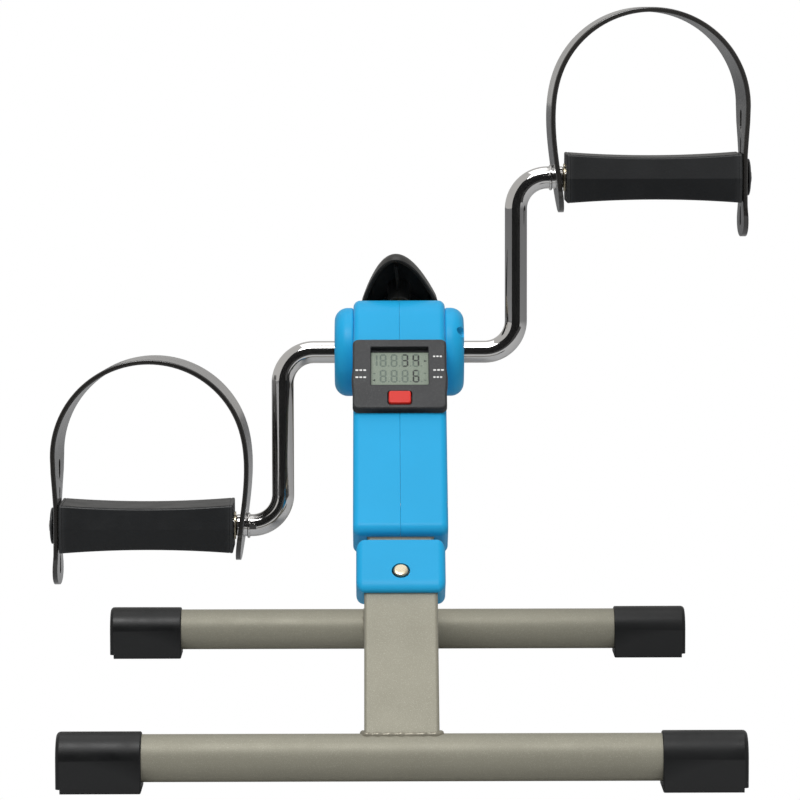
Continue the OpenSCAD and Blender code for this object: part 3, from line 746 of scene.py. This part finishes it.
def flat_marks(name, outlines, b, material):
    """Thin raised marks on the display's front, facing out, joined into one piece."""
    verts, faces = [], []
    for outline in outlines:
        v, f = loft(mapped(prism(outline, b - 0.06 * MM, b), FACING))
        faces += [tuple(i + len(verts) for i in face) for face in f]
        verts += v
    marks = make_mesh(name, verts, faces, LEG)
    piece(marks, "frame", material)


def plate(name, outline, low, high, r_low=0.0, steps=5):
    """An outline of (x, along) extruded across the leg, in the leg's place."""
    return solid(name, mapped(prism(outline, low, high, r_low, 0, steps), FACING), LEG)


def pane(name, gap, r, centre, low, high):
    """A rounded plate the size of the display's window, less a gap all round."""
    return plate(name, round_rect(WINDOW_W - gap, WINDOW_H - gap, r, 0, centre), low, high)


def make_display():
    low, high = local_box("display_case", LEG)
    centre = high.z - DISP_H / 2
    window = high.z - 5.8 * MM - WINDOW_H / 2
    reset_low, reset_high = local_box("reset_button", LEG)
    reset = (reset_low.z + reset_high.z) / 2
    case = plate("display_case_skin", case_outline(centre), low.y, high.y, 1.5 * MM, 6)
    floor = high.y - 0.6 * MM
    recess = pane("recess", 0, 0.9 * MM, window, low.y - MM, floor)
    opening = plate("opening", round_rect(13.9 * MM, 10.2 * MM, 1.9 * MM, 0, reset), low.y - MM, floor)
    cut(case, recess, opening)
    soften(case, 0.25 * MM, 50, 2)
    piece(case, "frame", MATERIALS["case_plastic"], ["display_case"])

    glass = pane("lcd_glass", 0.1 * MM, 0.6 * MM, window, floor - 0.7 * MM, floor - 0.02 * MM)
    piece(glass, "frame", MATERIALS["lcd"], ["lcd_panel"])
    face = floor - 0.7 * MM
    # A near-black strip painted across the top of the LCD face: the painted shadow of the window recess's top wall
    top_shadow = [round_rect(WINDOW_W - 0.2 * MM, 2.0 * MM, 0.2 * MM, 0, window + WINDOW_H / 2 - 1.1 * MM)]
    flat_marks("lcd_painted_shadow", top_shadow, face, RECESS_SHADE)
    # A thin near-black lining on the walls of the window recess: painted shade of the recess
    shade_liner, core = [pane("lcd_shade_liner", d, 0.8 * MM, window, low.y + 0.4 * MM - 5 * d, floor + 5 * d)
                   for d in (0.04 * MM, 0.5 * MM)]
    cut(shade_liner, core)
    piece(shade_liner, "frame", RECESS_SHADE)
    clear = pane("lcd_window_skin", 0.2 * MM, 0.6 * MM, window, face - 0.9 * MM, face - 0.4 * MM)
    piece(clear, "frame", MATERIALS["window_clear"], ["lcd_window"])

    rows = [window + 6.3 * MM, window - 5.2 * MM]
    ink, ghost = [], []
    for row, (shown, lit) in enumerate((("8834", 2), ("8886", 1))):
        for k, digit in enumerate(shown):
            cx = -9.3 * MM + DIGIT_STEP * k
            ghost.extend(segment_quads("8", cx, rows[row]))
            if k >= len(shown) - lit:
                ink.extend(segment_quads(digit, cx, rows[row]))
            dot = (cx + 3.1 * MM, rows[row] - 3.9 * MM)
            ghost.append(round_rect(0.8 * MM, 0.8 * MM, 0.2 * MM, *dot))
    ghost.extend(segment_quads("1", -14.4 * MM, rows[0]))
    for cy, direction in ((rows[0] - 0.4 * MM, 1), (rows[1] - 3 * MM, -1)):
        cx = direction * 14.6 * MM
        tip, back = cx + direction * 0.8 * MM, cx - direction * 0.8 * MM
        ink.append([(back, cy - 0.8 * MM), (tip, cy), (back, cy + 0.8 * MM)])
    for cy in (rows[1] + 2 * MM, rows[1] - 3 * MM):
        ghost.append(round_rect(1.3 * MM, 0.8 * MM, 0.2 * MM, 14.3 * MM, cy))
    ghost.append(round_rect(1.3 * MM, 0.8 * MM, 0.2 * MM, -14.3 * MM, rows[1] + 2 * MM))
    flat_marks("lcd_ghosts", ghost, face, GHOST)
    flat_marks("lcd_digits", ink, face - 0.02 * MM, INK)

    labels = []
    for x0, x1, a in ((18.6, 24.2, 261.9), (18.6, 25.2, 251.8), (18.6, 24.2, 246.6),
                      (-25.2, -18.6, 251.8), (-25.2, -18.6, 246.6)):
        step = (x1 - x0) / 3
        for k in range(3):
            middle_x = (x0 + step * (k + 0.5)) * MM
            labels.append(round_rect((step - 0.6) * MM, 1.15 * MM, 0.3 * MM, middle_x, a * MM))
    flat_marks("display_labels", labels, low.y, LABEL)

    button = plate("reset_button_skin", round_rect(12.6 * MM, 8.9 * MM, 1.5 * MM, 0, reset),
                   reset_low.y, floor - 1.3 * MM, 0.8 * MM)
    piece(button, "reset_button", MATERIALS["button_red"], ["reset_button"])


# ------------------------------------------------------------------ crank

ROD_R, BEND_R, ARM_X, STUB_R = 6.35 * MM, 18 * MM, 67 * MM, 5 * MM


def make_crank():
    half = [(0, 0), (ARM_X - BEND_R - 6 * MM, 0)]
    half += arc(ARM_X - BEND_R, BEND_R, BEND_R, -90, 0, 36)
    half += arc(ARM_X + BEND_R, THROW - BEND_R, BEND_R, 180, 90, 36)
    half += [(93.2 * MM, THROW), (94.2 * MM, THROW)]
    radii = [ROD_R] * (len(half) - 1) + [ROD_R - 0.7 * MM]
    end = 191.5 * MM
    half += [(94.25 * MM, THROW), (end - 0.8 * MM, THROW), (end, THROW)]
    radii += [STUB_R, STUB_R, STUB_R - 0.8 * MM]
    path = [(-x, -z) for x, z in reversed(half[1:])] + half
    radii = list(reversed(radii[1:])) + radii
    points = [(x, CRANK.y, CRANK.z + z) for x, z in path]
    rod = sweep("crank_rod_skin", points, radii, 48)
    piece(rod, "crank", MATERIALS["chrome"], ["crank_rod"], smooth=40)
    for side in (-1, 1):
        profile = [(ROD_R, 0), (7.0 * MM, 0), (7.4 * MM, 0.5 * MM), (7.4 * MM, 1.1 * MM),
                   (7.0 * MM, 1.6 * MM), (ROD_R, 1.6 * MM)]
        place = along_x(side * 86 * MM, CRANK.y, CRANK.z + side * THROW, side)
        collar = ring_lathe("spindle_collar_" + side_name(side), profile, place, 40)
        for turn in (0, math.pi):
            ear_place = place @ Matrix.Rotation(turn + math.pi / 2, 4, "Z")
            ear = block("ear", (ROD_R - 0.8 * MM, -1.6 * MM, -3.6 * MM),
                        (ROD_R + 1.2 * MM, 1.6 * MM, 0.2 * MM), ear_place)
            cut(collar, ear, operation="UNION")
        soften(collar, 0.3 * MM, 40, 2)
        piece(collar, "crank", MATERIALS["chrome"], ["spindle_collars"] if side > 0 else [])


# ------------------------------------------------------------------ pedals

def pedal_place(side):
    return (Matrix.Translation((0, CRANK.y, CRANK.z + side * THROW)) @ Matrix.Diagonal((side, 1, 1, 1)))


def make_block(side):
    node = "pedal_block_" + side_name(side)
    low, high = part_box(node)
    x0, x1 = sorted((abs(low.x), abs(high.x)))
    tall, deep, waist = (high.z - low.z) / 2, (high.y - low.y) / 2, 2 * MM
    middle_x, half = (x0 + x1) / 2, (x1 - x0) / 2

    def section(x, d):
        h = tall - waist * (1 - ((x - middle_x) / half) ** 2)
        corners = [(-deep, 0, 0.5 * MM), (-deep + 2 * MM, -h, 1.6 * MM), (deep - 2 * MM, -h, 1.6 * MM),
                   (deep, 0, 0.5 * MM), (deep - 2 * MM, h, 1.6 * MM), (-deep + 2 * MM, h, 1.6 * MM)]
        return [(x, y * (1 - d / deep), z * (1 - d / h)) for y, z in fillet(corners, 5)]

    left = [(0, 0.75 * MM), (0.12 * MM, 0.35 * MM), (0.35 * MM, 0.12 * MM), (0.75 * MM, 0),
            (1.7 * MM, 0), (1.72 * MM, 0.3 * MM), (2.0 * MM, 0.3 * MM), (2.02 * MM, 0)]
    xs = [(x0 + h, d) for h, d in left]
    xs += [(x0 + 3 * MM + (x1 - x0 - 6 * MM) * k / 24, 0) for k in range(25)]
    xs += [(x1 - h, d) for h, d in reversed(left)]
    body = solid(node + "_skin", [section(x, d) for x, d in xs], pedal_place(side))
    bore = bar_x("bore", x0 - MM, x1 + MM, 7 * MM, pedal_place(side))
    seat = bar_x("seat", x1 - 8.6 * MM, x1 + MM, 9.5 * MM, pedal_place(side))
    cut(body, bore, seat)
    piece(body, "pedal_" + side_name(side), MATERIALS["pedal_plastic"], [node], smooth=14)
    return x1


def make_boss(side, x1):
    place = along_x(side * x1, CRANK.y, CRANK.z + side * THROW, side)
    r = 10.5 * MM
    dome = [(r * math.cos(t) ** 0.8, (5.2 + 1.2 * math.sin(t)) * MM) for t in
            [math.radians(88 * k / 8) for k in range(9)]]
    profile = [(0, -3 * MM), (9.4 * MM, -3 * MM), (9.4 * MM, 0), (4.6 * MM, 0.02 * MM), (4.6 * MM, 4.5 * MM),
               (r - 0.4 * MM, 4.5 * MM), (r, 4.8 * MM)] + dome + [(0, 6.4 * MM)]
    boss = lathe("pedal_boss_" + side_name(side) + "_skin", profile, place)
    body = "pedal_" + side_name(side)
    piece(boss, body, MATERIALS["pedal_plastic"], ["pedal_boss_" + side_name(side)],
          smooth=40)
    rivet = lathe("boss_rivet_" + side_name(side) + "_skin",
                  [(0, 6.0 * MM), (3.3 * MM, 6.0 * MM), (3.4 * MM, 6.4 * MM), (2.9 * MM, 6.8 * MM),
                   (1.6 * MM, 6.95 * MM), (0, 7.0 * MM)], place)
    piece(rivet, body, MATERIALS["chrome"], ["boss_rivet_" + side_name(side)], smooth=40)


STRAP_T, ARCH_R, LEAN_IN = 2.8 * MM, 54.75 * MM, 5.2 * MM
STRAP_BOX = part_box("foot_strap_right")
STRAP_W = STRAP_BOX[1].y - STRAP_BOX[0].y
TWIST = 0.1    # how far the strap's outer leg turns inwards at the back, per unit of depth
SPLAY = 0.045   # how far the strap's inner leg swings outwards at the front, per unit of depth


def strap_outline(strap_x, arch_z, tail_out, tail_in):
    """The strap seen along Y: its centre line thickened to both sides."""
    line = [Vector((strap_x, -tail_out + (tail_out + arch_z) * k / 8)) for k in range(8)]
    line += [Vector(p) for p in arc(strap_x - ARCH_R, arch_z, ARCH_R, 0, 150, 50)]
    start, foot = line[-1], Vector((strap_x - 2 * ARCH_R + LEAN_IN, -tail_in))
    reach = (foot - start).length
    leave, arrive = Vector((-0.5, -0.866)) * reach, Vector((0.09, -1)) * reach
    for k in range(1, 29):
        t = k / 28
        line.append(start * (2 * t ** 3 - 3 * t * t + 1) + leave * (t ** 3 - 2 * t * t + t)
                    + foot * (3 * t * t - 2 * t ** 3) + arrive * (t ** 3 - t * t))
    outer, inside = [], []
    for i, p in enumerate(line):
        run = (line[min(i + 1, len(line) - 1)] - line[max(i - 1, 0)]).normalized()
        off = Vector((run.y, -run.x)) * STRAP_T / 2
        outer.append(tuple(p + off))
        inside.append(tuple(p - off))
    return outer + inside[::-1]


def tail_cutter(x, z, place):
    r = STRAP_W / 2
    outline = ([(-r - 3 * MM, z + r), (-r, z + r)] + arc(0, z + r, r, 180, 360, 24)[1:-1]
               + [(r, z + r), (r + 3 * MM, z + r), (r + 3 * MM, z - 4 * MM), (-r - 3 * MM, z - 4 * MM)])
    return solid("tail", mapped(prism(outline, x - 8 * MM, x + 8 * MM), SIDEWAYS), place)


def make_strap(side, x1):
    node = "foot_strap_" + side_name(side)
    low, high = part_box(node)
    axis = CRANK.z + side * THROW
    strap_x = x1 + 0.6 * MM + STRAP_T / 2
    arch_z = high.z - axis - ARCH_R - STRAP_T / 2
    tail_out, tail_in = axis - low.z, 20 * MM
    place = pedal_place(side)
    outline = strap_outline(strap_x, arch_z, tail_out, tail_in)
    rings = mapped(prism(outline, -STRAP_W / 2, STRAP_W / 2, 0.9 * MM, 0.9 * MM, 4), FACING)
    strap = solid(node + "_skin", rings, place)
    slots = [solid("slot", mapped(prism(round_rect(5.2 * MM, 11.2 * MM, 2.6 * MM, 0, z * MM),
                                        strap_x - 8 * MM, strap_x + 8 * MM), SIDEWAYS), place)
             for z in (-22, 17, 33)]
    inner_x = strap_x - 2 * ARCH_R + LEAN_IN
    cut(strap, tail_cutter(strap_x, -tail_out, place), tail_cutter(inner_x, -tail_in, place), *slots,
        bar_x("spindle", 70 * MM, 110 * MM, ROD_R + 0.6 * MM, place),
        bar_x("peg", strap_x - 8 * MM, strap_x + 8 * MM, 5 * MM, place))
    soften(strap, 0.3 * MM, 55, 2)
    for vertex in strap.data.vertices:
        inwards = (side * strap_x - vertex.co.x) * side / (2 * ARCH_R)
        inwards = min(1.0, max(0.0, inwards))
        free = min(1.0, max(0.0, (abs(vertex.co.z - axis) - 14 * MM) / (22 * MM)))
        slant = SPLAY * inwards + TWIST * free * (1 - inwards)
        vertex.co.x -= side * slant * (vertex.co.y - CRANK.y)
    piece(strap, "pedal_" + side_name(side), MATERIALS["strap_rubber"], [node], smooth=30)


def make_pedals():
    for side in (-1, 1):
        x1 = make_block(side)
        make_boss(side, x1)
        make_strap(side, x1)


# ------------------------------------------------------------------ tension knob

def pick_outline(reach):
    """The knob from above: a pointed nose towards the user, widening to a rounded back."""
    depth = [0.15, 0.6, 1.4, 2.5, 4, 6, 9, 12, 16, 20, 25, 30, 34, 37]
    side = [(math.sqrt(13.2 * d) * MM, d * MM - reach) for d in depth]
    side += arc(10.8 * MM, 8.8 * MM, 12.0 * MM, -15, 90, 14)
    return [(0, -reach)] + side + [(-x, b) for x, b in reversed(side)]


def make_knob():
    low, _ = local_box("tension_knob", LEG)
    reach, wall = 34.2 * MM, 2.3 * MM
    rim = low.z + 4 * MM
    place = LEG @ Matrix.Translation((0, CRANK_L.y, rim)) @ Matrix.Rotation(math.radians(-4), 4, "Z")
    outline = pick_outline(reach)
    inner = inset(outline, wall)

    def ring(points, scale, a):
        return [(x * scale, y * scale, a * MM) for x, y in points]

    hollow = ((0.3, 10.2), (0.78, 10.2), (0.86, 9.0), (0.93, 6.0), (0.985, 2), (1, 0.5))
    dome = ((1, 0.5), (0.99, 2.5), (0.965, 5), (0.92, 7.5), (0.84, 9.8), (0.72, 11.6), (0.53, 12.7),
            (0.3, 13.0))
    rings = [ring(inner, scale, a) for scale, a in hollow]
    rings += [ring(inset(outline, wall * 0.75), 1, 0.05), ring(inset(outline, wall * 0.3), 1, 0)]
    rings += [ring(outline, scale, a) for scale, a in dome]
    knob = solid("tension_knob_skin", rings, place)
    piece(knob, "tension_knob", MATERIALS["knob_plastic"], ["tension_knob"], smooth=50)
    profile = [(4 * MM, -4 * MM), (6.0 * MM, -4 * MM), (6.5 * MM, -3.5 * MM), (6.9 * MM, 10.6 * MM),
               (4 * MM, 10.6 * MM)]
    hub = ring_lathe("knob_hub", profile, place, 40)
    piece(hub, "tension_knob", MATERIALS["knob_plastic"], smooth=40)
    for k, (turn, length) in enumerate(((0, 26.5), (135, 18), (-135, 18))):
        rib_place = place @ Matrix.Rotation(math.radians(turn), 4, "Z")
        rib = block("knob_rib_" + str(k + 1), (-0.8 * MM, -length * MM, 2 * MM),
                    (0.8 * MM, -6 * MM, 9.0 * MM), rib_place)
        soften(rib, 0.25 * MM, 50, 2)
        piece(rib, "tension_knob", MATERIALS["knob_plastic"])


# ------------------------------------------------------------------ all of it

def dress_frame():
    """Gives every CAD node the material of its slot."""
    for name, node in NODES.items():
        for material_slot in node.material_slots:
            material_slot.material = MATERIALS[SLOTS[name]]


bpy.context.scene.view_settings.view_transform = "Standard"
make_camera()
make_world()
make_stage()
make_light("key", (-0.45, -1.5, 2.4), (0, 0, 0.2), 1.2, 43)
make_light("fill", (0.9, -2.2, 0.7), (0, 0, 0.2), 0.9, 4)
make_light("top", (0, 0.3, 2.1), (0, 0, 0.1), 1.6, 8)
dress_frame()
make_feet()
make_collar()
make_snap_button()
make_housing()
make_display()
make_crank()
make_pedals()
make_knob()
